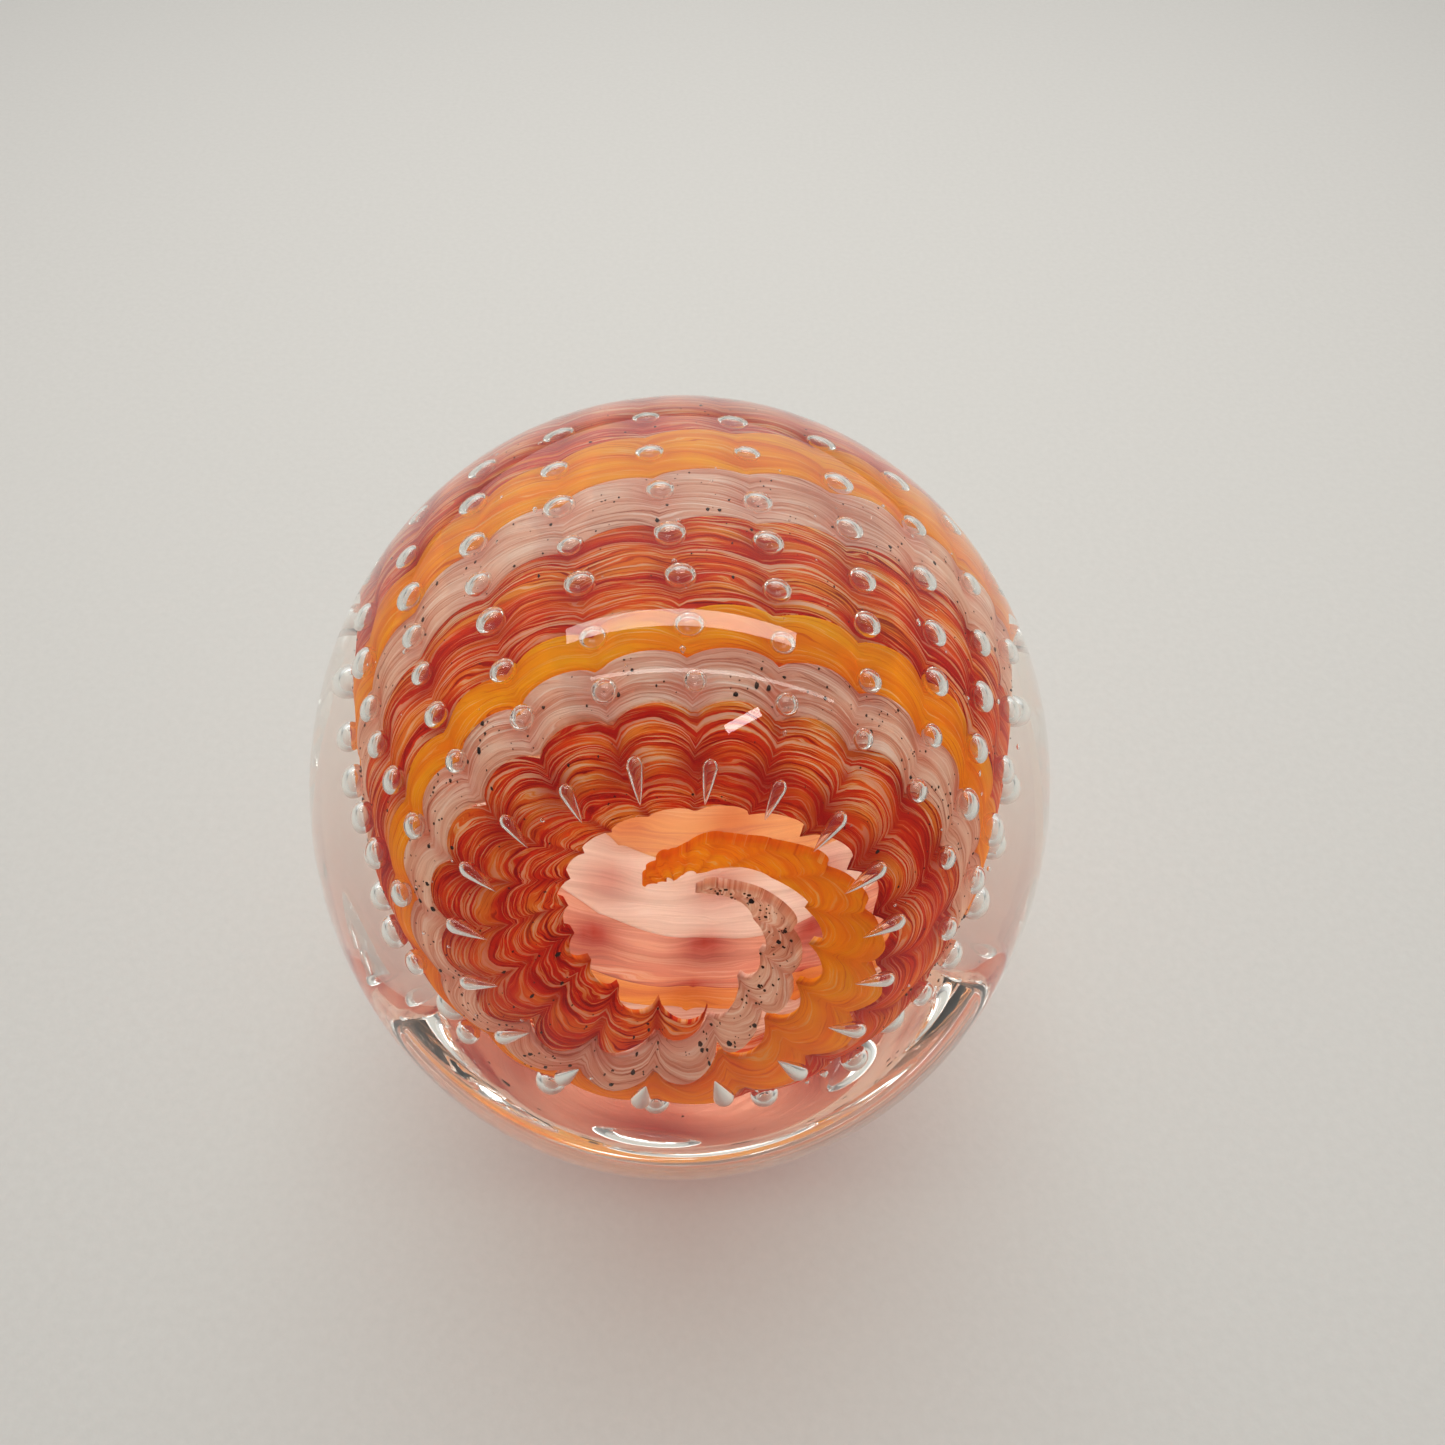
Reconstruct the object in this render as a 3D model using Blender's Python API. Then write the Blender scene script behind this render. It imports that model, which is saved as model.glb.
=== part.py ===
"""Hand-made glass paperweight with a three-colour ribbon swirl.

A clear inner gather (the heart) is wrapped by three coloured glass ribbons that
wind round it side by side as a three-start spiral. A thick clear casing covers
them. The weight rests on a small flat ground on its underside, so the eye of the
swirl looks out to the front (-Y) and slightly up.

Frame: +Z up, origin on the ground flat, below the middle of the casing.
Every turned piece is built along its own +Z, the swirl axis, and then laid down.
"""
import math

import bmesh
import bpy
from mathutils import Matrix, Vector

# ---------------------------------------------------------------- driving sizes (m)
CASING_RADIUS = 0.0380         # half width, square to the swirl axis
CASING_HALF_LENGTH = 0.0428    # half length, along the swirl axis
GROUND_DEPTH = 0.0026          # how much is ground off to make the flat base
AXIS_RISE = math.radians(10)   # how far the swirl axis points above level

VEIL_LIFT = 0.0024             # swirl axis above the casing's own axis
VEIL_THICKNESS = 0.0012        # thickness of the coloured ribbons
GAP = 0.0004                   # clearance between touching pieces

RIBBON_PITCH = 0.0165          # advance of one ribbon in one turn
RIBBON_EDGE_GAP = 0.0005       # clearance between neighbouring ribbons
RIBBON_TURNS = 3.45
RIBBON_STEPS_PER_TURN = 32
STARTS = 3

NECK_RADIUS = 0.0050           # where the inner glass comes out at the back
NECK_INSET = 0.0005            # the neck stops this far inside the casing's skin

CASING_SEGMENTS = 52
CASING_RINGS = 26
CORE_SEGMENTS = 36

# Outline of the coloured veil as (distance along the axis, radius): a nearly flat,
# slightly dished front, a barrel-shaped body and a rounded back.
VEIL_OUTLINE = (
    (0.0180, 0.0000), (0.0183, 0.0060), (0.0203, 0.0115), (0.0207, 0.0155),
    (0.0155, 0.0194), (0.0060, 0.0215), (-0.0060, 0.0215), (-0.0160, 0.0195),
    (-0.0245, 0.0164), (-0.0308, 0.0114), (-0.0332, 0.0056),
)
EYE_ARC = 0.0075               # arc from the front pole to where the ribbons start
VEIL_SAG = 0.0022              # how far the veil's back end hangs below its own axis
SAG_START, SAG_END = -0.0040, -0.0300


# ---------------------------------------------------------------- outline helpers
def catmull(points, steps):
    """Smooth a list of 2-D points with a Catmull-Rom curve."""
    out = []
    for i in range(len(points) - 1):
        p0 = Vector(points[max(i - 1, 0)])
        p1, p2 = Vector(points[i]), Vector(points[i + 1])
        p3 = Vector(points[min(i + 2, len(points) - 1)])
        for k in range(steps):
            t = k / steps
            out.append(0.5 * ((2 * p1) + (p2 - p0) * t
                              + (2 * p0 - 5 * p1 + 4 * p2 - p3) * t * t
                              + (3 * p1 - p0 - 3 * p2 + p3) * t ** 3))
    out.append(Vector(points[-1]))
    return out


class Outline:
    """The veil's outline, read by arc length from the front pole."""

    def __init__(self, points):
        self.pts = catmull(points, 16)
        self.arc = [0.0]
        for a, b in zip(self.pts, self.pts[1:]):
            self.arc.append(self.arc[-1] + (b - a).length)
        self.length = self.arc[-1]

    def at(self, s):
        s = min(max(s, 0.0), self.length)
        i = 1
        while self.arc[i] < s and i < len(self.arc) - 1:
            i += 1
        t = (s - self.arc[i - 1]) / (self.arc[i] - self.arc[i - 1])
        return self.pts[i - 1].lerp(self.pts[i], t)

    def normal(self, s):
        """Outward normal as (along the axis, radial)."""
        d = self.at(s + 0.0006) - self.at(s - 0.0006)
        return Vector((d.y, -d.x)).normalized()

    def offset(self, s, distance):
        """A point moved off the outline; a positive distance is outwards."""
        n = self.normal(s)
        p = self.at(s) + Vector((n.x, n.y)) * distance
        return Vector((p.x, max(p.y, 0.0)))


VEIL = Outline(VEIL_OUTLINE)


def sag(along):
    """Drop of the veil at a distance along its axis: none in front, full at the back."""
    t = min(max((SAG_START - along) / (SAG_START - SAG_END), 0.0), 1.0)
    return VEIL_SAG * t * t * (3.0 - 2.0 * t)


# ---------------------------------------------------------------- mesh helpers
def turned(name, outline, segments, frame, material, drop=None):
    """A solid turned from (along, radius) points that run from pole to pole."""
    bm = bmesh.new()
    rings = []
    for along, radius in outline:
        down = drop(along) if drop else 0.0
        if radius < 1e-6:
            rings.append([bm.verts.new((0.0, -down, along))])
            continue
        rings.append([bm.verts.new((radius * math.cos(2 * math.pi * k / segments),
                                    radius * math.sin(2 * math.pi * k / segments) - down, along))
                      for k in range(segments)])
    for a, b in zip(rings, rings[1:]):
        for k in range(segments):
            n = (k + 1) % segments
            if len(a) == 1:
                bm.faces.new((a[0], b[k], b[n]))
            elif len(b) == 1:
                bm.faces.new((a[k], b[0], a[n]))
            else:
                bm.faces.new((a[k], b[k], b[n], a[n]))
    bmesh.ops.recalc_face_normals(bm, faces=bm.faces)
    return finish(bm, name, frame, material)


def finish(bm, name, frame, material):
    mesh = bpy.data.meshes.new(name)
    bm.to_mesh(mesh)
    bm.free()
    mesh.shade_smooth()
    mesh.set_sharp_from_angle(angle=math.radians(35))
    piece = bpy.data.objects.new(name, mesh)
    piece.matrix_world = frame
    if material is not None:
        mesh.materials.append(material)
    bpy.context.scene.collection.objects.link(piece)
    return piece


def cut(target, cutter):
    cutter.hide_render = True
    cutter.display_type = 'WIRE'
    modifier = target.modifiers.new("cut_" + cutter.name, 'BOOLEAN')
    modifier.operation = 'DIFFERENCE'
    modifier.solver = 'EXACT'
    modifier.object = cutter


def principled(name, colour, roughness, transmission=0.0):
    material = bpy.data.materials.new(name)
    material.use_nodes = True
    shader = material.node_tree.nodes["Principled BSDF"]
    shader.inputs["Base Color"].default_value = (*colour, 1.0)
    shader.inputs["Roughness"].default_value = roughness
    shader.inputs["Metallic"].default_value = 0.0
    shader.inputs["Transmission Weight"].default_value = transmission
    material.diffuse_color = (*colour, 1.0)
    return material


# ---------------------------------------------------------------- frames
def casing_frame():
    """Local +Z of a turned piece laid along the swirl axis, at the casing's centre."""
    lay_down = Matrix.Rotation(math.radians(90) - AXIS_RISE, 4, 'X')
    reach_down = math.hypot(CASING_RADIUS * math.cos(AXIS_RISE),
                            CASING_HALF_LENGTH * math.sin(AXIS_RISE))
    return Matrix.Translation((0.0, 0.0, reach_down - GROUND_DEPTH)) @ lay_down


def veil_frame():
    """The veil sits a little higher than the casing's centre."""
    return casing_frame() @ Matrix.Translation((0.0, VEIL_LIFT, 0.0))


# ---------------------------------------------------------------- pieces
def veil_shell(distance, tail_radius, tail_end, step=0.0022):
    """Outline of the veil moved off by a distance, with a straight neck at the back."""
    count = max(8, round(VEIL.length / step))
    points = [VEIL.offset(VEIL.length * k / count, distance) for k in range(count + 1)]
    points[0].y = 0.0
    body = [p for p in points if p.x > VEIL_OUTLINE[-1][0] * 0.6 or p.y > tail_radius + 0.0012]
    shoulder = body[-1].x - 0.0006
    return [tuple(p) for p in body] + [(shoulder, tail_radius), (tail_end, tail_radius),
                                       (tail_end, 0.0)]


def build_casing(glass):
    rings = []
    for k in range(CASING_RINGS + 1):
        angle = math.pi * k / CASING_RINGS
        radius = CASING_RADIUS * math.sin(angle) if 0 < k < CASING_RINGS else 0.0
        rings.append((CASING_HALF_LENGTH * math.cos(angle), radius))
    casing = turned("clear_casing", rings, CASING_SEGMENTS, casing_frame(), glass)

    # the flat ground on the underside
    bm = bmesh.new()
    bmesh.ops.create_cube(bm, size=1.0)
    wide = 4 * CASING_HALF_LENGTH
    bmesh.ops.scale(bm, vec=(wide, wide, 0.02), verts=bm.verts)
    cut(casing, finish(bm, "base_grinding_cutter", Matrix.Translation((0, 0, -0.01)), None))

    # the room for the coloured veil and the heart, open at the back
    room = veil_shell(GAP, NECK_RADIUS, -CASING_HALF_LENGTH - 0.01)
    cut(casing, turned("core_cutter", room, CORE_SEGMENTS, veil_frame(), None, sag))
    return casing


def build_heart(glass):
    """The inner gather: it fills the veil and comes out as a short neck at the back."""
    reach = VEIL_LIFT + NECK_RADIUS
    skin = CASING_HALF_LENGTH * math.sqrt(1.0 - (reach / CASING_RADIUS) ** 2)
    outline = veil_shell(-VEIL_THICKNESS - GAP, NECK_RADIUS - GAP, -skin + NECK_INSET)
    return turned("clear_heart", outline, CORE_SEGMENTS, veil_frame(), glass, sag)


def build_ribbon(name, start, material):
    """One coloured ribbon: a flat strip that winds round the heart, clockwise outwards."""
    width = RIBBON_PITCH / STARTS - RIBBON_EDGE_GAP
    first = EYE_ARC + 0.5 * width
    steps = round(RIBBON_TURNS * RIBBON_STEPS_PER_TURN)
    bm = bmesh.new()
    rings = []
    for k in range(steps + 1):
        turn = k / RIBBON_STEPS_PER_TURN
        middle = first + RIBBON_PITCH * turn
        if middle + 0.5 * width > VEIL.length - 0.0016:
            break
        angle = 2 * math.pi * (start / STARTS - turn)
        ring = []
        for side, depth in ((-0.5, 0.0), (0.0, 0.0), (0.5, 0.0),
                            (0.5, -VEIL_THICKNESS), (0.0, -VEIL_THICKNESS),
                            (-0.5, -VEIL_THICKNESS)):
            p = VEIL.offset(middle + side * width, depth)
            ring.append(bm.verts.new((p.y * math.cos(angle), p.y * math.sin(angle) - sag(p.x),
                                      p.x)))
        rings.append(ring)
    for a, b in zip(rings, rings[1:]):
        for i in range(6):
            j = (i + 1) % 6
            bm.faces.new((a[i], b[i], b[j], a[j]))
    bm.faces.new(rings[0])
    bm.faces.new(list(reversed(rings[-1])))
    bmesh.ops.recalc_face_normals(bm, faces=bm.faces)
    return finish(bm, name, veil_frame(), material)


def main():
    for thing in list(bpy.data.objects):
        bpy.data.objects.remove(thing)
    clear = principled("clear_glass", (0.86, 0.88, 0.84), 0.03, 1.0)
    build_casing(clear)
    build_heart(principled("heart_glass", (0.88, 0.88, 0.86), 0.03, 1.0))
    build_ribbon("red_ribbon", 0, principled("red_glass", (0.46, 0.03, 0.01), 0.15))
    build_ribbon("white_ribbon", 1, principled("white_glass", (0.62, 0.39, 0.33), 0.15))
    build_ribbon("orange_ribbon", 2, principled("orange_glass", (0.68, 0.23, 0.01), 0.15))


main()
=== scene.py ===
"""Looks of the glass paperweight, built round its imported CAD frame.

The glass body is one fused mass, so one closed mesh carries its outer skin. The three
coloured ribbons lie inside it as thin closed shells, scalloped between the columns of
trapped air, with the air bubbles, dark specks and seed bubbles as their own pieces.
"""
import math

import bpy
import numpy as np
from mathutils import Matrix, Vector


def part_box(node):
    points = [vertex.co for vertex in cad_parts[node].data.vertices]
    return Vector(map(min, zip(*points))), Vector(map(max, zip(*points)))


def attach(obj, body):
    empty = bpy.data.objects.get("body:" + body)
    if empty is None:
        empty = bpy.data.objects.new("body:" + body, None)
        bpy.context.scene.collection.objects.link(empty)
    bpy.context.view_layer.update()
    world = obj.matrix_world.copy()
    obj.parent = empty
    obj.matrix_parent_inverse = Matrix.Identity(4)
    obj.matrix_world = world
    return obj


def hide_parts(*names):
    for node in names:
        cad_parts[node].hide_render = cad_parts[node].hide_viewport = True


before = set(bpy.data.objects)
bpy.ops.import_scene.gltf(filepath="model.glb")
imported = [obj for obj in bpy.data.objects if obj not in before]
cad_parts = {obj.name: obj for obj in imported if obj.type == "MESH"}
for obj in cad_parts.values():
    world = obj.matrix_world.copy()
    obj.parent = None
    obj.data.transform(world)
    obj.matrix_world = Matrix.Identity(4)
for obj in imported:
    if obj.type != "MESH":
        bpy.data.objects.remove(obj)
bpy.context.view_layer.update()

MM = 0.001

# ------------------------------------------------------------------ sizes from the frame
low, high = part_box("clear_casing")
CASING_RADIUS = 0.5 * (high.x - low.x)
AXIS_RISE = math.radians(10)
half_depth = 0.5 * (high.y - low.y)
CASING_HALF_LENGTH = math.sqrt((half_depth ** 2 - (CASING_RADIUS * math.sin(AXIS_RISE)) ** 2)) \
    / math.cos(AXIS_RISE)
half_height = math.hypot(CASING_RADIUS * math.cos(AXIS_RISE),
                         CASING_HALF_LENGTH * math.sin(AXIS_RISE))
CENTRE = Vector((0.0, 0.0, high.z - half_height))

VEIL_LIFT = 2.4 * MM
VEIL_THICKNESS = 1.0 * MM
VEIL_SAG = 2.2                 # mm that the veil's back end hangs below its own axis
SAG_START, SAG_LENGTH = -4.0, 26.0
# the veil's outline as (distance along the axis, radius) in mm, front pole first
VEIL_OUTLINE = (
    (18.0, 0.0), (18.3, 6.0), (20.3, 11.5), (20.7, 15.5), (15.5, 19.4), (6.0, 21.5),
    (-6.0, 21.5), (-16.0, 19.5), (-24.5, 16.4), (-30.8, 11.4), (-33.2, 5.6),
)

COLUMNS = 18
COLUMN_START = 3.3             # degrees
COLUMN_TWIST = 2.3             # degrees gained from one row of bubbles to the next
RIM_INSET = 1.3                # mm from the outline's end to where the ribbons stop
ROW_ARCS = (16.3, 22.7, 27.8, 32.8, 37.6, 42.9, 48.9, 55.6, 62.5, 69.0)   # mm from the pole

# where the lit backdrop is brightest: straight behind the object, 22 degrees up
BACKDROP_DIRECTION = (0.0, math.cos(math.radians(22)), math.sin(math.radians(22)))

CAMERA_RISE = math.radians(50)
CAMERA_DISTANCE, CAMERA_RAISE, CAMERA_SIDE = 3.62, 0.13, 0.11    # casing radii
# half sizes (mm: along the row, towards the eye, out of the veil) and the largest share of
# them, for the first row of bubbles, the second, and all the others
BUBBLE_SIZES = (((0.66, 0.85, 0.60), 1.12), ((0.98, 1.02, 0.80), 1.10), ((1.22, 1.12, 0.92), 1.12))
LIGHT_BOUNCES = 40             # light goes round the inside of the casing many times
TAIL_STRETCH = 3.2             # how far the bubbles nearest the eye are drawn out

rng = np.random.default_rng(7)


# ------------------------------------------------------------------ frames
def casing_frame():
    return Matrix.Translation(CENTRE) @ Matrix.Rotation(math.radians(90) - AXIS_RISE, 4, 'X')


def veil_frame():
    return casing_frame() @ Matrix.Translation((0.0, VEIL_LIFT, 0.0))


VEIL_MATRIX = np.array(veil_frame())


def sag(along):
    """Drop (mm) of the veil towards its back end."""
    t = np.clip((SAG_START - along) / SAG_LENGTH, 0, 1)
    return VEIL_SAG * t * t * (3 - 2 * t)


def to_world(local):
    """Local veil points in mm, as an array of rows, to world metres."""
    flat = np.array(local, float).reshape(-1, 3)
    flat[:, 1] -= sag(flat[:, 2])
    flat *= MM
    return flat @ VEIL_MATRIX[:3, :3].T + VEIL_MATRIX[:3, 3]


# ------------------------------------------------------------------ the veil's surface
class Outline:
    """Turned outline of the veil in mm, read by arc length from the front pole."""

    def __init__(self, points, steps=40):
        pts = [np.array(p, float) for p in points]
        out = []
        for i in range(len(pts) - 1):
            p0, p1, p2, p3 = pts[max(i - 1, 0)], pts[i], pts[i + 1], pts[min(i + 2, len(pts) - 1)]
            for k in range(steps):
                t = k / steps
                out.append(0.5 * (2 * p1 + (p2 - p0) * t + (2 * p0 - 5 * p1 + 4 * p2 - p3) * t * t
                                  + (3 * p1 - p0 - 3 * p2 + p3) * t ** 3))
        out.append(pts[-1])
        p = np.array(out)
        self.arc = np.concatenate([[0], np.cumsum(np.linalg.norm(np.diff(p, axis=0), axis=1))])
        self.along, self.radius = p[:, 0], p[:, 1]
        d = np.gradient(p, self.arc, axis=0)
        d /= np.linalg.norm(d, axis=1, keepdims=True)
        self.n_along, self.n_radius = d[:, 1], -d[:, 0]
        self.length = self.arc[-1]

    def at(self, s):
        return np.interp(s, self.arc, self.along), np.interp(s, self.arc, self.radius)

    def normal(self, s):
        return np.interp(s, self.arc, self.n_along), np.interp(s, self.arc, self.n_radius)


VEIL = Outline(VEIL_OUTLINE)


def row_of(s):
    """Row number at an arc length; it runs on past the first and last rows."""
    k = np.arange(1, len(ROW_ARCS) + 1)
    inside = np.interp(s, ROW_ARCS, k)
    first = 1 + (s - ROW_ARCS[0]) / 6.4
    last = len(ROW_ARCS) + (s - ROW_ARCS[-1]) / 6.5
    return np.where(s < ROW_ARCS[0], first, np.where(s > ROW_ARCS[-1], last, inside))


def column_phase(phi, s):
    """Where an angle lies between two columns of bubbles: 0 on a column, +-0.5 midway."""
    f = (phi - COLUMN_START - COLUMN_TWIST * (row_of(s) - 1)) * COLUMNS / 360.0
    return f - np.round(f)


def scallop(phase):
    """Round arcs between the columns that meet in cusps on the columns."""
    f = 2 * np.abs(phase)
    return np.sqrt(np.clip(1 - (1 - f) ** 2, 0, 1))


def scallop_depth(s):
    """How far the arcs reach, in mm: deep round the eye, shallow further back."""
    return 0.60 + 1.95 * np.exp(-np.maximum(s - 15.0, 0) / 7.5) * np.clip((s - 6) / 9, 0, 1)


def dimple(phi, s):
    """1 under a bubble, falling to 0 a couple of millimetres away."""
    row = row_of(s)
    _, radius = VEIL.at(s)
    across = column_phase(phi, s) * 2 * math.pi / COLUMNS * radius
    along = (row - np.clip(np.round(row), 1, len(ROW_ARCS))) * 5.2
    return np.exp(-(across ** 2 + along ** 2) / 3.4)


def relief(phi, s):
    """Height of the veil's skin over its outline: lobes, with a dimple under each bubble."""
    return 0.30 * (scallop(column_phase(phi, s)) - 0.7) - 0.55 * dimple(phi, s)


def veil_points(phi, s, depth):
    """Local points (mm) on the veil at angles (degrees), arc lengths and depths."""
    along, radius = VEIL.at(s)
    n_along, n_radius = VEIL.normal(s)
    h = relief(phi, s) + depth
    r = np.maximum(radius + n_radius * h, 0.02)
    a = np.radians(phi)
    return np.stack([r * np.cos(a), r * np.sin(a), along + n_along * h], axis=-1)


# ------------------------------------------------------------------ the spiral
def smooth_step(x):
    x = np.clip(x, 0, 1)
    return x * x * (3 - 2 * x)


def spiral_arc(g, phi):
    """Arc length (mm) of the spiral line that has made g turns, before scalloping. The
    spiral is a little off centre: wider to the left near the eye, tighter below at the back."""
    a = np.radians(phi)
    base = np.where(g < 0, 11.5 * np.exp(0.6 * np.minimum(g, 0)), 11.5 + 14.9 * g + 2.9 * g * g)
    left = 3.4 * np.clip(-np.cos(a), 0, 1) * np.exp(-((g - 0.35) / 0.45) ** 2)
    above = 1.4 * np.sin(a) * np.exp(-np.maximum(g, 0) / 0.5)
    below = 13.0 * np.clip(-np.sin(a), 0, 1) ** 2 * smooth_step((base - 26) / 28)
    return base + left + above - below


def red_share(turn):
    return np.clip(0.50 - 0.05 * turn, 0.36, 0.5)


RIBBONS = {
    # low and high edge as shares of a turn, then the drawn-out tip as
    # (turn, inner arc, outer arc) stations in mm, and where the tip has run into the spiral
    "red": (lambda t: 0 * t, red_share,
            ((-0.53, 10.0, 10.2), (-0.50, 9.9, 10.9), (-0.42, 9.0, 13.0), (-0.336, 8.1, 15.7),
             (-0.25, 7.9, 18.3), (-0.111, 9.2, 19.5), (0.0, 10.8, 20.7), (0.083, 12.4, 21.8),
             (0.2, 14.6, 23.3)), (0.0, 0.2)),
    "white": (red_share, lambda t: red_share(t) + 0.27,
              ((-0.83, 1.9, 2.1), (-0.80, 1.6, 3.2), (-0.767, 2.9, 5.3), (-0.72, 4.9, 7.6),
               (-0.683, 6.4, 9.1), (-0.62, 7.8, 10.5), (-0.56, 9.2, 12.0), (-0.53, 10.4, 13.0),
               (-0.50, 11.1, 14.0), (-0.42, 13.2, 16.9), (-0.336, 15.9, 20.2),
               (-0.25, 18.5, 22.6), (-0.111, 19.7, 24.1), (0.0, 20.9, 25.4), (0.083, 22.0, 26.5),
               (0.2, 23.5, 28.3)), (0.0, 0.2)),
    "orange": (lambda t: red_share(t) + 0.27, lambda t: 1 + 0 * t,
               ((-1.175, 2.3, 2.5), (-1.08, 1.8, 3.3), (-1.0, 1.8, 4.0), (-0.894, 3.2, 7.4),
                (-0.836, 6.0, 11.4), (-0.767, 9.3, 13.8), (-0.68, 11.0, 15.6),
                (-0.60, 11.7, 16.8), (-0.53, 13.3, 18.4), (-0.50, 14.2, 19.2),
                (-0.42, 17.1, 21.6), (-0.336, 20.4, 24.1), (-0.25, 22.8, 25.8),
                (-0.111, 24.3, 27.6), (0.0, 25.6, 29.4), (0.083, 26.7, 31.0),
                (0.2, 28.5, 33.4)), (0.0, 0.2)),
}


def ribbon_edges(name, t):
    """Inner and outer edge (mm of arc) of a ribbon after t turns."""
    low, high, tip, (meet, joined) = RIBBONS[name]
    phi = 90 - 360 * t
    tip = np.array(tip)
    share = smooth_step((t - meet) / (joined - meet))
    inner = spiral_arc(low(t) + t, phi) * share + np.interp(t, tip[:, 0], tip[:, 1]) * (1 - share)
    outer = spiral_arc(high(t) + t, phi) * share + np.interp(t, tip[:, 0], tip[:, 2]) * (1 - share)
    return inner, outer


def ribbon_grid(name, across=24, per_column=12):
    """Angles and arc lengths of one ribbon on a grid of (steps along, points across)."""
    first = RIBBONS[name][2][0][0]
    step = 1.0 / (COLUMNS * per_column)
    turn = np.arange(first, 3.4, step)
    t, u = np.meshgrid(turn, np.linspace(0, 1, across), indexing="ij")
    phi = 90 - 360 * t
    inner, outer = ribbon_edges(name, t)
    # at the back every ribbon runs out against the rim round the neck
    rim = VEIL.length - RIM_INSET
    inner, outer = np.minimum(inner, rim - 0.12), np.minimum(outer, rim)
    ragged = 0.35 * np.sin(t * 61 + 2 * u) * np.clip((first + 0.5 - t) / 0.5, 0, 1)
    v = inner + u * (outer - inner) + ragged * (2 * u - 1) * np.clip((outer - inner) / 3, 0, 1)
    s = v + scallop_depth(v) * (scallop(column_phase(phi, v)) - 0.6)
    last = int(np.flatnonzero((outer - inner)[:, 0] > 0.2)[-1]) + 2
    return t[:last], u[:last], phi[:last], s[:last], v[:last]


# ------------------------------------------------------------------ mesh helpers
def mesh_object(name, points, faces):
    mesh = bpy.data.meshes.new(name)
    mesh.from_pydata([tuple(p) for p in points], [], faces)
    mesh.validate()
    mesh.update()
    mesh.shade_smooth()
    piece = bpy.data.objects.new(name, mesh)
    bpy.context.scene.collection.objects.link(piece)
    return piece


def grid_faces(rows, cols, offset=0, flip=False, wrap=False):
    i, j = np.meshgrid(np.arange(rows - 1), np.arange(cols if wrap else cols - 1), indexing="ij")
    j2 = (j + 1) % cols
    a, b = i * cols + j, i * cols + j2
    c, d = (i + 1) * cols + j2, (i + 1) * cols + j
    quad = np.stack([a, b, c, d] if not flip else [a, d, c, b], axis=-1).reshape(-1, 4) + offset
    return [tuple(map(int, q)) for q in quad]


def add_vector_attribute(mesh, name, values):
    layer = mesh.attributes.new(name, 'FLOAT_VECTOR', 'POINT')
    layer.data.foreach_set("vector", np.asarray(values, np.float32).ravel())


def put(piece, material, nodes):
    piece.data.materials.append(material)
    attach(piece, "root")
    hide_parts(*nodes)


# ------------------------------------------------------------------ material helpers
class Nodes:
    """A short way to write node trees."""

    def __init__(self, name):
        self.material = bpy.data.materials.new(name)
        self.material.use_nodes = True
        self.tree = self.material.node_tree
        self.tree.nodes.clear()
        self.output = self.tree.nodes.new("ShaderNodeOutputMaterial")

    def add(self, kind, inputs=None, **settings):
        node = self.tree.nodes.new(kind)
        for key, value in settings.items():
            setattr(node, key, value)
        for key, value in (inputs or {}).items():
            self.set(node.inputs[key], value)
        return node

    def set(self, socket, value):
        if isinstance(value, bpy.types.NodeSocket):
            self.tree.links.new(value, socket)
        elif isinstance(value, tuple) and len(value) == 3 and socket.type == 'RGBA':
            socket.default_value = (*value, 1.0)
        else:
            socket.default_value = value

    def math(self, operation, a, b=0.0, c=0.0):
        node = self.add("ShaderNodeMath", operation=operation)
        for socket, value in zip(node.inputs, (a, b, c)):
            self.set(socket, value)
        return node.outputs[0]

    def vector(self, x, y, z):
        return self.add("ShaderNodeCombineXYZ", {"X": x, "Y": y, "Z": z}).outputs[0]

    def noise(self, vector, scale, detail=2.0, rough=0.5):
        node = self.add("ShaderNodeTexNoise", {"Vector": vector, "Scale": scale,
                                               "Detail": detail, "Roughness": rough})
        return node.outputs["Fac"]

    def ramp(self, factor, stops):
        node = self.add("ShaderNodeValToRGB", {"Fac": factor})
        ramp = node.color_ramp
        while len(ramp.elements) < len(stops):
            ramp.elements.new(0.5)
        for element, (place, colour) in zip(ramp.elements, stops):
            element.position = place
            element.color = (*colour, 1.0) if isinstance(colour, tuple) else (colour,) * 3 + (1.0,)
        return node.outputs[0]

    def between(self, factor, a, b):
        node = self.add("ShaderNodeMix", data_type='RGBA')
        self.set(node.inputs[0], factor)
        self.set(node.inputs[6], a)
        self.set(node.inputs[7], b)
        return node.outputs[2]

    def mix_shader(self, factor, a, b):
        node = self.add("ShaderNodeMixShader")
        self.set(node.inputs[0], factor)
        self.tree.links.new(a, node.inputs[1])
        self.tree.links.new(b, node.inputs[2])
        return node.outputs[0]

    def finish(self, shader):
        self.tree.links.new(shader, self.output.inputs["Surface"])
        return self.material


def lamp_rays(n):
    """1 for rays that carry light from lamps and soft bounces, which pass glass unbent."""
    path = n.add("ShaderNodeLightPath")
    return n.math('MAXIMUM', path.outputs["Is Shadow Ray"], path.outputs["Is Diffuse Ray"])


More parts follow.
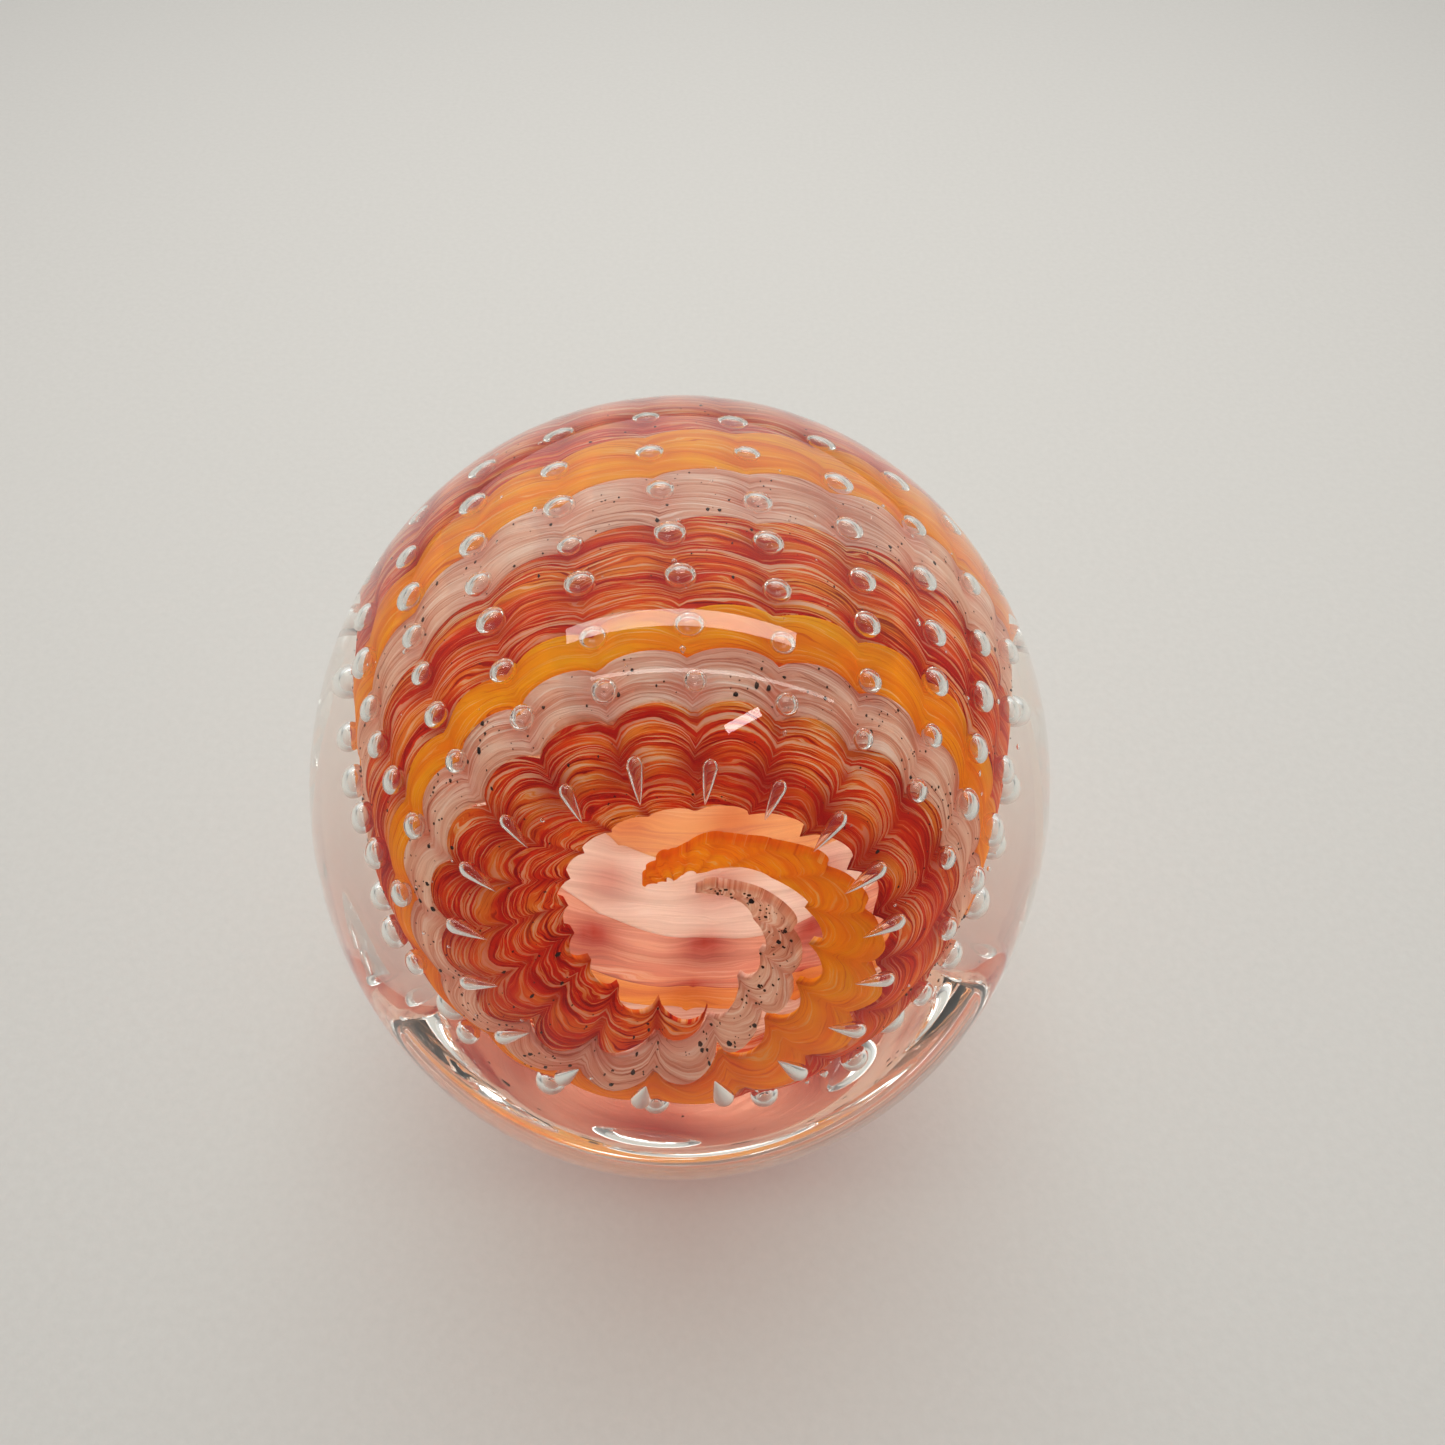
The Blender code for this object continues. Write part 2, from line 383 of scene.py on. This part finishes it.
# ------------------------------------------------------------------ glass materials
def clear_glass():
    n = Nodes("clear_glass")
    place = n.add("ShaderNodeTexCoord").outputs["Object"]
    height = n.add("ShaderNodeSeparateXYZ", {"Vector": place}).outputs["Z"]
    # hand-finished glass: faint waves, almost none on the ground flat
    off_flat = n.ramp(n.math('MULTIPLY', height, 1000.0), ((0.2, 0.0), (0.9, 1.0)))
    wave = n.math('MULTIPLY', n.noise(place, 55.0, 2.0, 0.4), off_flat)
    bump = n.add("ShaderNodeBump", {"Height": wave, "Strength": 0.06, "Distance": 0.0004})
    glass = n.add("ShaderNodeBsdfPrincipled", {
        "Base Color": (0.962, 0.987, 0.955), "Roughness": 0.0, "IOR": 1.5,
        "Transmission Weight": 1.0, "Normal": bump.outputs[0]})
    clear = n.add("ShaderNodeBsdfTransparent", {"Color": (0.97, 0.975, 0.96)})
    return n.finish(n.mix_shader(lamp_rays(n), glass.outputs[0], clear.outputs[0]))


def bubble_air():
    """Air in glass: the inverse index, so that light bends and mirrors as in a real void."""
    n = Nodes("bubble_air")
    place = n.add("ShaderNodeTexCoord").outputs["Object"]
    bump = n.add("ShaderNodeBump", {"Height": n.noise(place, 900.0, 1.0), "Strength": 0.08,
                                    "Distance": 0.0001})
    air = n.add("ShaderNodeBsdfGlass", {"Color": (0.99, 0.99, 0.985), "Roughness": 0.0,
                                        "IOR": 0.6667, "Normal": bump.outputs[0]})
    clear = n.add("ShaderNodeBsdfTransparent", {"Color": (0.98, 0.98, 0.98)})
    return n.finish(n.mix_shader(lamp_rays(n), air.outputs[0], clear.outputs[0]))


def heart_glass():
    """The heart is fused to the casing, so its skin neither bends nor mirrors light."""
    n = Nodes("heart_glass")
    place = n.add("ShaderNodeTexCoord").outputs["Object"]
    tint = n.ramp(n.noise(place, 60.0, 2.0), ((0.35, (0.985, 0.98, 0.965)),
                                              (0.65, (0.995, 0.99, 0.985))))
    return n.finish(n.add("ShaderNodeBsdfTransparent", {"Color": tint}).outputs[0])


def ribbon_glass(name, colours, streaks, cover, glow_colour, gather, painted_backlight):
    """Streaky coloured glass. colours: base tones as (place, colour) stops; streaks: the fine
    drawn lines as (place, colour, share) stops; cover: how solid the glass is, at least and at
    most; glow_colour: the tint it gives to lamp light; gather: (colour, share) of the darker
    tone under the bubbles and of the painted shade in the creases; and the last argument:
    (colour, share) of painted light, paler towards the back as if lit through from behind."""
    n = Nodes(name)
    swirl = n.add("ShaderNodeAttribute", attribute_name="swirl").outputs["Vector"]
    parts = n.add("ShaderNodeSeparateXYZ", {"Vector": swirl})
    across, turn = parts.outputs["X"], parts.outputs["Y"]
    warp = n.noise(n.vector(n.math('MULTIPLY', across, 0.45), n.math('MULTIPLY', turn, 16.0), 0.0),
                   1.0, 2.0)
    drawn = n.math('ADD', across, n.math('MULTIPLY', warp, 2.2))
    line_at = n.vector(n.math('MULTIPLY', drawn, 4.3), n.math('MULTIPLY', turn, 12.0), 3.7)
    lines = n.noise(line_at, 1.0, 5.0, 0.66)
    broad_at = n.vector(n.math('MULTIPLY', drawn, 0.75), n.math('MULTIPLY', turn, 7.0), 9.1)
    broad = n.noise(broad_at, 1.0, 2.0, 0.5)
    base = n.ramp(broad, colours)
    line_colour = n.ramp(lines, tuple((p, c) for p, c, _ in streaks))
    line_share = n.ramp(lines, tuple((p, a) for p, _, a in streaks))
    patchy = n.noise(n.vector(n.math('MULTIPLY', drawn, 0.35), n.math('MULTIPLY', turn, 5.0), 21.0),
                     1.0, 2.0)
    patchy = n.ramp(patchy, ((0.30, 0.35), (0.55, 1.0)))
    colour = n.between(n.math('MULTIPLY', line_share, patchy), base, line_colour)
    # darker under the bubbles, painted shade in the creases, painted light paler towards the back
    ground = n.add("ShaderNodeSeparateXYZ", {"Vector": n.add(
        "ShaderNodeAttribute", attribute_name="ground").outputs["Vector"]})
    # painted shade along the creases between the lobes, broken up by the broad streaks
    crease_shade_mask = n.math('MULTIPLY', ground.outputs["Z"], n.ramp(broad, ((0.35, 0.2), (0.6, 1.0))))
    dimple_dark_and_crease_shade = n.math('MAXIMUM', ground.outputs["X"], crease_shade_mask)
    # painted light: paler towards the back and on the lower back wall, as if lit through from
    # behind
    colour = n.between(n.math('MULTIPLY', ground.outputs["Y"], painted_backlight[1]), colour, painted_backlight[0])
    # darker under each bubble, and painted shade in the creases
    colour = n.between(n.math('MULTIPLY', dimple_dark_and_crease_shade, gather[1]), colour, gather[0])
    # how solid the glass is: it thins towards the ribbon's edges and in its pale lines
    solid = n.ramp(n.math('ADD', n.math('MULTIPLY', lines, 0.5), n.math('MULTIPLY', broad, 0.5)),
                   ((0.32, cover[0]), (0.62, cover[1])))
    relief_bump = n.add("ShaderNodeBump", {"Height": lines, "Strength": 0.5, "Distance": 0.0002})
    shaded = n.add("ShaderNodeVectorMath", operation='SCALE')
    n.set(shaded.inputs[0], colour)
    n.set(shaded.inputs["Scale"], 0.64)
    front = n.add("ShaderNodeBsdfDiffuse", {"Color": shaded.outputs[0],
                                            "Normal": relief_bump.outputs[0]})
    through = n.add("ShaderNodeBsdfTranslucent", {"Color": colour,
                                                  "Normal": relief_bump.outputs[0]})
    body = n.mix_shader(0.42, front.outputs[0], through.outputs[0])
    open_glass = n.add("ShaderNodeBsdfTransparent", {"Color": colour})
    glass = n.mix_shader(solid, open_glass.outputs[0], body)
    # lamp light goes on through the thin wall, tinted
    glow = n.add("ShaderNodeBsdfTransparent", {"Color": glow_colour})
    lamp = n.add("ShaderNodeLightPath").outputs["Is Shadow Ray"]
    return n.finish(n.mix_shader(lamp, glass, glow.outputs[0]))


def red_glass():
    return ribbon_glass(
        "red_glass",
        ((0.34, (0.62, 0.024, 0.008)), (0.47, (0.82, 0.080, 0.012)), (0.56, (0.90, 0.22, 0.02)),
         (0.66, (0.94, 0.45, 0.06))),
        ((0.40, (0.34, 0.006, 0.004), 1.0), (0.46, (0.70, 0.05, 0.012), 0.0),
         (0.51, (0.86, 0.24, 0.03), 0.1), (0.55, (0.98, 0.66, 0.18), 0.95),
         (0.60, (0.99, 0.93, 0.72), 1.0)),
        (0.50, 0.92), (0.79, 0.37, 0.19), ((0.50, 0.015, 0.012), 0.85), ((0.95, 0.68, 0.58), 0.95))


def white_glass():
    return ribbon_glass(
        "white_glass",
        ((0.34, (0.70, 0.40, 0.30)), (0.50, (0.85, 0.62, 0.51)), (0.64, (0.94, 0.82, 0.73))),
        ((0.36, (0.38, 0.13, 0.08), 0.85), (0.44, (0.78, 0.50, 0.40), 0.0),
         (0.54, (0.93, 0.82, 0.74), 0.5), (0.61, (0.99, 0.97, 0.93), 1.0)),
        (0.55, 0.95), (0.83, 0.58, 0.39), ((0.62, 0.16, 0.10), 0.55), ((0.99, 0.98, 0.96), 1.0))


def orange_glass():
    return ribbon_glass(
        "orange_glass",
        ((0.32, (0.90, 0.32, 0.006)), (0.50, (0.98, 0.47, 0.008)), (0.68, (0.99, 0.58, 0.012))),
        ((0.36, (0.66, 0.14, 0.004), 0.8), (0.44, (0.92, 0.38, 0.01), 0.0),
         (0.57, (0.98, 0.56, 0.03), 0.2), (0.64, (0.99, 0.82, 0.38), 0.85)),
        (0.72, 0.97), (0.83, 0.51, 0.15), ((0.72, 0.17, 0.01), 0.5), ((0.99, 0.87, 0.70), 0.52))


def dark_speck():
    n = Nodes("dark_speck")
    place = n.add("ShaderNodeTexCoord").outputs["Object"]
    colour = n.ramp(n.noise(place, 1500.0, 1.0), ((0.3, (0.015, 0.010, 0.010)),
                                                  (0.7, (0.07, 0.04, 0.03))))
    return n.finish(n.add("ShaderNodeBsdfDiffuse", {"Color": colour}).outputs[0])


# ------------------------------------------------------------------ pieces
def build_body():
    """The fused glass body: an egg on its side, ground flat below, with its rim eased."""
    spin = np.array(casing_frame().to_3x3())
    axis = spin[:, 2]
    stretch = CASING_RADIUS ** 2 * np.eye(3) \
        + (CASING_HALF_LENGTH ** 2 - CASING_RADIUS ** 2) * np.outer(axis, axis)
    up = np.array((0.0, 0.0, 1.0))
    height = math.sqrt(up @ stretch @ up)
    top = stretch @ up / height
    side = np.array((CASING_RADIUS, 0.0, 0.0))
    back = np.array((0.0, CASING_RADIUS * CASING_HALF_LENGTH / height, 0.0))
    centre = np.array(CENTRE)

    around, rings = 256, 168
    flat_angle = math.acos(-centre[2] / height)
    angles = [flat_angle * k / rings for k in range(1, rings)]
    phi = np.arange(around) * 2 * math.pi / around
    level = [np.array([centre + top])]
    for a in angles:
        level.append(centre + math.cos(a) * top + math.sin(a) *
                     (np.outer(np.cos(phi), side) + np.outer(np.sin(phi), back)))
    # the eased rim and the ground flat
    last = level[-1]
    middle = centre + math.cos(flat_angle) * top
    rim = math.sin(flat_angle) * (np.outer(np.cos(phi), side) + np.outer(np.sin(phi), back))
    for share, z in ((0.985, 0.00008), (0.965, 0.00001), (0.93, 0.0), (0.6, 0.0), (0.3, 0.0)):
        ring = middle + rim * share
        ring[:, 2] = z
        level.append(ring)
    level.append(np.array([[middle[0], middle[1], 0.0]]))
    points = np.concatenate(level)
    count = len(level) - 2
    faces = [(0, 1 + j, 1 + (j + 1) % around) for j in range(around)]
    faces += grid_faces(count, around, offset=1, flip=True, wrap=True)
    end = 1 + (count - 1) * around
    faces += [(len(points) - 1, end + (j + 1) % around, end + j) for j in range(around)]

    # hand-made unevenness, a few hundredths of a millimetre, and the pontil spot at the back
    local = (points - centre) @ spin
    wobble = (0.06 * np.sin(local[:, 0] * 95 + 1.0) * np.sin(local[:, 2] * 80)
              + 0.05 * np.sin(local[:, 1] * 120 + local[:, 2] * 60)) * MM
    r = np.hypot(local[:, 0], local[:, 1] - VEIL_LIFT)
    pontil = np.where(local[:, 2] < 0, np.clip(1 - (r / (5.2 * MM)) ** 4, 0, 1), 0) * 0.35 * MM
    push = np.clip(points[:, 2] / (6 * MM), 0, 1)
    direction = (points - centre) / np.linalg.norm(points - centre, axis=1, keepdims=True)
    points = points + direction * ((wobble - 0.11 * MM) * push - pontil)[:, None]
    body = mesh_object("glass_body", points, faces)
    body.data.set_sharp_from_angle(angle=math.radians(40))
    put(body, clear_glass(), ("clear_casing",))
    return body


def build_heart():
    """The clear inner gather, just inside the coloured ribbons."""
    rows, around = 60, 72
    s = np.linspace(0.01, VEIL.length, rows)
    phi = np.arange(around) * 360.0 / around
    ss, pp = np.meshgrid(s, phi, indexing="ij")
    points = veil_points(pp, ss, -1.75).reshape(-1, 3)
    tail_z = points[-1, 2]
    neck = []
    for z, r in ((tail_z - 1.0, 4.6), (-37.0, 4.6), (-41.2, 4.6)):
        neck.append(np.stack([r * np.cos(np.radians(phi)), r * np.sin(np.radians(phi)),
                              np.full(around, z)], axis=-1))
    points = np.concatenate([points] + neck)
    rings = rows + len(neck)
    points = np.concatenate([points, [[0, 0, points[0, 2]], [0, 0, -41.2]]])
    faces = grid_faces(rings, around, wrap=True, flip=True)
    start, end = len(points) - 2, len(points) - 1
    faces += [(start, j, (j + 1) % around) for j in range(around)]
    base = (rings - 1) * around
    faces += [(end, base + (j + 1) % around, base + j) for j in range(around)]
    heart = mesh_object("glass_heart", to_world(points), faces)
    put(heart, heart_glass(), ("clear_heart",))
    return heart


def build_ribbon(name, material, node):
    t, u, phi, s, v = ribbon_grid(name)
    rows, cols = s.shape
    outer = veil_points(phi, s, 0.0).reshape(-1, 3)
    inner = veil_points(phi, s, -VEIL_THICKNESS / MM).reshape(-1, 3)
    count = rows * cols
    faces = grid_faces(rows, cols, 0) + grid_faces(rows, cols, count, flip=True)
    for j, flip in ((0, False), (cols - 1, True)):
        for i in range(rows - 1):
            a, b = i * cols + j, (i + 1) * cols + j
            face = (a, b, b + count, a + count)
            faces.append(face if not flip else face[::-1])
    for i, flip in ((0, True), (rows - 1, False)):
        for j in range(cols - 1):
            a, b = i * cols + j, i * cols + j + 1
            face = (a, b, b + count, a + count)
            faces.append(face if not flip else face[::-1])
    piece = mesh_object(name + "_ribbon_glass", to_world(np.concatenate([outer, inner])), faces)
    swirl = np.stack([v.ravel(), t.ravel(), u.ravel()], axis=-1)
    add_vector_attribute(piece.data, "swirl", np.concatenate([swirl, swirl]))
    # painted light: the glass is made paler towards the back and on the lower back wall, as if lit
    # through from behind
    low_side = np.clip(-np.sin(np.radians(phi)), 0, 1)
    back = np.maximum(0.45 * smooth_step((s - 48) / 16),
                      low_side * (smooth_step((s - 27) / 12) + smooth_step((s - 49) / 7)))
    # painted shade along the creases on the columns, strongest towards the eye
    crease_shade = np.exp(-(column_phase(phi, s) / 0.10) ** 2) * np.clip((34 - s) / 14, 0.12, 1)
    # ground holds the darker tone under each bubble, the painted backlight and the painted crease
    # shade
    ground = np.stack([dimple(phi, s).ravel(), back.ravel(), crease_shade.ravel()], axis=-1)
    add_vector_attribute(piece.data, "ground", np.concatenate([ground, ground]))
    put(piece, material, (node,))
    return piece


def bubble_shape(tail, rings=20, around=32):
    """A unit bubble; one with a tail is drawn out along +Y, towards the eye of the swirl."""
    points, faces = [(0, TAIL_STRETCH if tail else 1.0, 0)], []
    for k in range(1, rings):
        a = math.pi * k / rings
        y, r = math.cos(a), math.sin(a)
        if y > 0 and tail:
            r *= (1 - y) ** 0.35 * (1 - 0.25 * y)
            y *= TAIL_STRETCH
        for j in range(around):
            p = 2 * math.pi * j / around
            points.append((r * math.cos(p), y, r * math.sin(p)))
    points.append((0, -1, 0))
    faces += [(0, 1 + (j + 1) % around, 1 + j) for j in range(around)]
    faces += grid_faces(rings - 1, around, offset=1, wrap=True)
    end = 1 + (rings - 2) * around
    faces += [(len(points) - 1, end + j, end + (j + 1) % around) for j in range(around)]
    return np.array(points), faces


def placed(points, phi, s, size, depth):
    """Points of a unit shape set on the veil: +Y towards the eye of the swirl, +Z out
    of the veil."""
    along, radius = VEIL.at(s)
    n_along, n_radius = VEIL.normal(s)
    a = math.radians(phi)
    outward = np.array((n_radius * math.cos(a), n_radius * math.sin(a), n_along))
    around = np.array((-math.sin(a), math.cos(a), 0.0))
    to_eye = np.cross(outward, around)
    away_from_axis = to_eye @ np.array((math.cos(a), math.sin(a), 0)) > 0
    on_front = n_along > 0.5
    if (on_front and away_from_axis) or (not on_front and to_eye[2] < 0):
        to_eye = -to_eye
    side = np.cross(to_eye, outward)
    base = np.array((radius * math.cos(a), radius * math.sin(a), along)) + outward * depth
    p = points * np.array(size)
    return base + p[:, :1] * side + p[:, 1:2] * to_eye + p[:, 2:3] * outward


def build_bubbles(air):
    """Rows of air bubbles, one in each dimple, with a little unevenness in place and size."""
    for k, s0 in enumerate(ROW_ARCS, start=1):
        shape, shape_faces = bubble_shape(tail=k == 1)
        size, largest = BUBBLE_SIZES[min(k, len(BUBBLE_SIZES)) - 1]
        points, faces = [], []
        for j in range(COLUMNS):
            s = s0 + rng.normal(0, 0.22)
            phi = COLUMN_START + COLUMN_TWIST * (k - 1) + 360 / COLUMNS * j + rng.normal(0, 0.35)
            phi -= 3.0 if k == 1 else 0.8
            here = placed(shape, phi, s, np.array(size) * rng.uniform(0.88, largest), 0.35)
            faces += [tuple(i + len(points) for i in f) for f in shape_faces]
            points += list(here)
        piece = mesh_object(f"bubbles_row_{k}", to_world(points), faces)
        put(piece, air, ("clear_casing",))


def scatter(name, count, size_range, depth_range, chooser, material, node, squash=0.6):
    """Many tiny lumps just over or in the veil, as one piece."""
    shape = np.array([(0, 0, 1), (0.894, 0, 0.447), (0.276, 0.851, 0.447), (-0.724, 0.526, 0.447),
                      (-0.724, -0.526, 0.447), (0.276, -0.851, 0.447), (0.724, 0.526, -0.447),
                      (-0.276, 0.851, -0.447), (-0.894, 0, -0.447), (-0.276, -0.851, -0.447),
                      (0.724, -0.526, -0.447), (0, 0, -1)])
    tris = [(0, 1, 2), (0, 2, 3), (0, 3, 4), (0, 4, 5), (0, 5, 1), (1, 6, 2), (2, 7, 3),
            (3, 8, 4), (4, 9, 5), (5, 10, 1), (6, 7, 2), (7, 8, 3), (8, 9, 4), (9, 10, 5),
            (10, 6, 1), (11, 7, 6), (11, 8, 7), (11, 9, 8), (11, 10, 9), (11, 6, 10)]
    points, faces = [], []
    for _ in range(count):
        phi, s = chooser()
        size = rng.uniform(*size_range) * rng.choice((0.7, 0.7, 1.0, 1.0, 1.0, 1.0, 1.5, 1.8))
        lump = shape * rng.uniform(0.7, 1.3, shape.shape)
        h = float(relief(np.array(phi), np.array(s)))
        here = placed(lump, phi, s, (size, size * rng.uniform(0.7, 1.8), size * squash),
                      h + rng.uniform(*depth_range))
        faces += [tuple(i + len(points) for i in f) for f in tris]
        points += list(here)
    piece = mesh_object(name, to_world(points), faces)
    put(piece, material, (node,))
    return piece


def on_ribbon(name):
    first = RIBBONS[name][2][0][0]

    def choose():
        while True:
            t = rng.uniform(first + 0.02, 3.0)
            inner, outer = ribbon_edges(name, np.array(t))
            s = float(inner + rng.uniform(0.04, 0.96) * (outer - inner))
            phi = (90 - 360 * t) % 360
            s += float(scallop_depth(np.array(s)) * (scallop(column_phase(
                np.array(phi), np.array(s))) - 0.6))
            if 1.5 < s < VEIL.length - 2:
                return phi, s
    return choose


def anywhere():
    return rng.uniform(0, 360), rng.uniform(14, VEIL.length - 3)


# ------------------------------------------------------------------ stage, light and camera
def build_floor():
    n = Nodes("pale_card")
    place = n.add("ShaderNodeTexCoord").outputs["Object"]
    broad = n.noise(place, 9.0, 3.0)
    fibre = n.noise(place, 900.0, 4.0, 0.6)
    colour = n.between(n.math('MULTIPLY', broad, 0.6),
                       n.ramp(fibre, ((0.3, (0.605, 0.592, 0.566)), (0.7, (0.643, 0.630, 0.603)))),
                       (0.630, 0.620, 0.593))
    bump = n.add("ShaderNodeBump", {"Height": fibre, "Strength": 0.12, "Distance": 0.0002})
    card = n.add("ShaderNodeBsdfPrincipled", {"Base Color": colour, "Roughness": 0.75,
                                              "Specular IOR Level": 0.2,
                                              "Normal": bump.outputs[0]})
    size, cuts = 1.6, 24
    x = np.linspace(-size, size, cuts)
    xx, yy = np.meshgrid(x, x, indexing="ij")
    points = np.stack([xx.ravel(), yy.ravel(), np.zeros(xx.size)], axis=-1)
    floor = mesh_object("pale_floor", points, grid_faces(cuts, cuts))
    floor.location.z = -0.0002
    floor.data.materials.append(n.finish(card.outputs[0]))
    return floor


def area_light(name, place, target, size, energy, colour=(1, 1, 1)):
    data = bpy.data.lights.new(name, 'AREA')
    data.shape = 'RECTANGLE'
    data.size, data.size_y = size
    data.energy = energy
    data.color = colour
    lamp = bpy.data.objects.new(name, data)
    lamp.location = place
    away = Vector(target) - Vector(place)
    lamp.rotation_euler = (math.atan2(away.y, -away.z), math.atan2(-away.x, -away.z), 0.0)
    bpy.context.scene.collection.objects.link(lamp)
    return lamp


def build_world():
    """A pale tent that is brightest low behind the object, as a lit backdrop is."""
    world = bpy.data.worlds.new("soft_tent")
    bpy.context.scene.world = world
    world.use_nodes = True
    tree = world.node_tree
    ray = tree.nodes.new("ShaderNodeTexCoord").outputs["Generated"]
    toward = tree.nodes.new("ShaderNodeVectorMath")
    toward.operation = 'DOT_PRODUCT'
    tree.links.new(ray, toward.inputs[0])
    toward.inputs[1].default_value = BACKDROP_DIRECTION
    glow = tree.nodes.new("ShaderNodeValToRGB")
    tree.links.new(toward.outputs["Value"], glow.inputs["Fac"])
    stops = ((0.0, 0.19), (0.40, 0.20), (0.70, 0.50), (1.0, 1.00))
    glow.color_ramp.interpolation = 'B_SPLINE'
    while len(glow.color_ramp.elements) < len(stops):
        glow.color_ramp.elements.new(0.5)
    for element, (place, value) in zip(glow.color_ramp.elements, stops):
        element.position = place
        element.color = (value, value, 0.985 * value, 1.0)
    back = tree.nodes["Background"]
    tree.links.new(glow.outputs[0], back.inputs["Color"])
    back.inputs["Strength"].default_value = 1.0


def hidden_point_light(name, place, energy, colour, size, lit, shadow=True):
    """A point light that only the pieces in lit receive, and that no ray can see."""
    data = bpy.data.lights.new(name, 'POINT')
    data.energy = energy
    data.color = colour
    data.shadow_soft_size = size
    data.use_shadow = shadow
    lamp = bpy.data.objects.new(name, data)
    lamp.location = place
    lamp.visible_camera = lamp.visible_glossy = lamp.visible_transmission = False
    bpy.context.scene.collection.objects.link(lamp)
    receivers = bpy.data.collections.new("lit_by_" + name)
    for piece in lit:
        receivers.objects.link(piece)
    lamp.light_linking.receiver_collection = receivers


def build_lamps(ribbons, floor):
    key = area_light("soft_key", (0.0, 0.245, 0.46), CENTRE, (0.52, 0.42), 1.85,
                     (1.0, 0.99, 0.97))
    key.visible_glossy = False
    # rows of small lamps overhead, which the top of the casing mirrors
    for name, place, size, energy, colour in (
            ("led_row_back", (0.005, 0.066, 0.36), (0.37, 0.026), 0.21, (1.0, 0.96, 0.88)),
            ("led_row_front", (0.085, -0.012, 0.38), (0.46, 0.006), 0.05, (1.0, 0.97, 0.92))):
        area_light(name, place, CENTRE + Vector((place[0], 0, 0)), size, energy, colour)
    small = area_light("small_lamp", (0.087, -0.068, 0.305), CENTRE, (0.052, 0.012), 0.024)
    small.rotation_euler.rotate_axis('Z', math.radians(35))
    # light that the clear rim throws on the ground round the foot
    hidden_point_light("rim_light", (0.0, 0.028, 0.022), 0.0065, (0.72, 1.0, 0.94), 0.008,
                       [floor], shadow=False)
    # light that the thick glass gathers inside the veil
    for name, offset, energy in (("gathered_light", (0.0, -0.002, 0.002), 0.0130),
                                 ("gathered_light_far", (0.0, 0.015, 0.0), 0.0080)):
        hidden_point_light(name, CENTRE + Vector(offset), energy, (1.0, 0.98, 0.94), 0.006, ribbons)


def build_camera():
    """Close and from the front, set a little to the right of and above the middle. The distances
    are in casing radii."""
    back = Vector((0.0, -math.cos(CAMERA_RISE), math.sin(CAMERA_RISE)))
    up = Vector((0.0, math.sin(CAMERA_RISE), math.cos(CAMERA_RISE)))
    data = bpy.data.cameras.new("camera")
    data.sensor_width = 36.0
    data.lens = 32.0
    data.clip_start = 0.005
    camera = bpy.data.objects.new("camera", data)
    camera.location = CENTRE + CASING_RADIUS * (CAMERA_DISTANCE * back + CAMERA_RAISE * up
                                                + CAMERA_SIDE * Vector((1, 0, 0)))
    camera.rotation_euler = (-back).to_track_quat('-Z', 'Y').to_euler()
    bpy.context.scene.collection.objects.link(camera)
    bpy.context.scene.camera = camera


def main():
    scene = bpy.context.scene
    scene.view_settings.view_transform = 'Standard'
    for kind in ("max", "transmission", "glossy", "transparent_max"):
        setattr(scene.cycles, kind + "_bounces", LIGHT_BOUNCES)

    build_body()
    build_heart()
    ribbons = [build_ribbon("red", red_glass(), "red_ribbon"),
               build_ribbon("white", white_glass(), "white_ribbon"),
               build_ribbon("orange", orange_glass(), "orange_ribbon")]
    air = bubble_air()
    build_bubbles(air)
    speck = dark_speck()
    scatter("white_specks", 900, (0.045, 0.11), (0.02, 0.10), on_ribbon("white"), speck,
            "white_ribbon")
    scatter("red_specks", 380, (0.04, 0.09), (0.02, 0.10), on_ribbon("red"), speck,
            "red_ribbon")
    scatter("seed_bubbles", 160, (0.07, 0.20), (0.25, 0.9), anywhere, air,
            "clear_casing", squash=1.0)
    floor = build_floor()
    build_world()
    build_lamps(ribbons, floor)
    build_camera()


main()
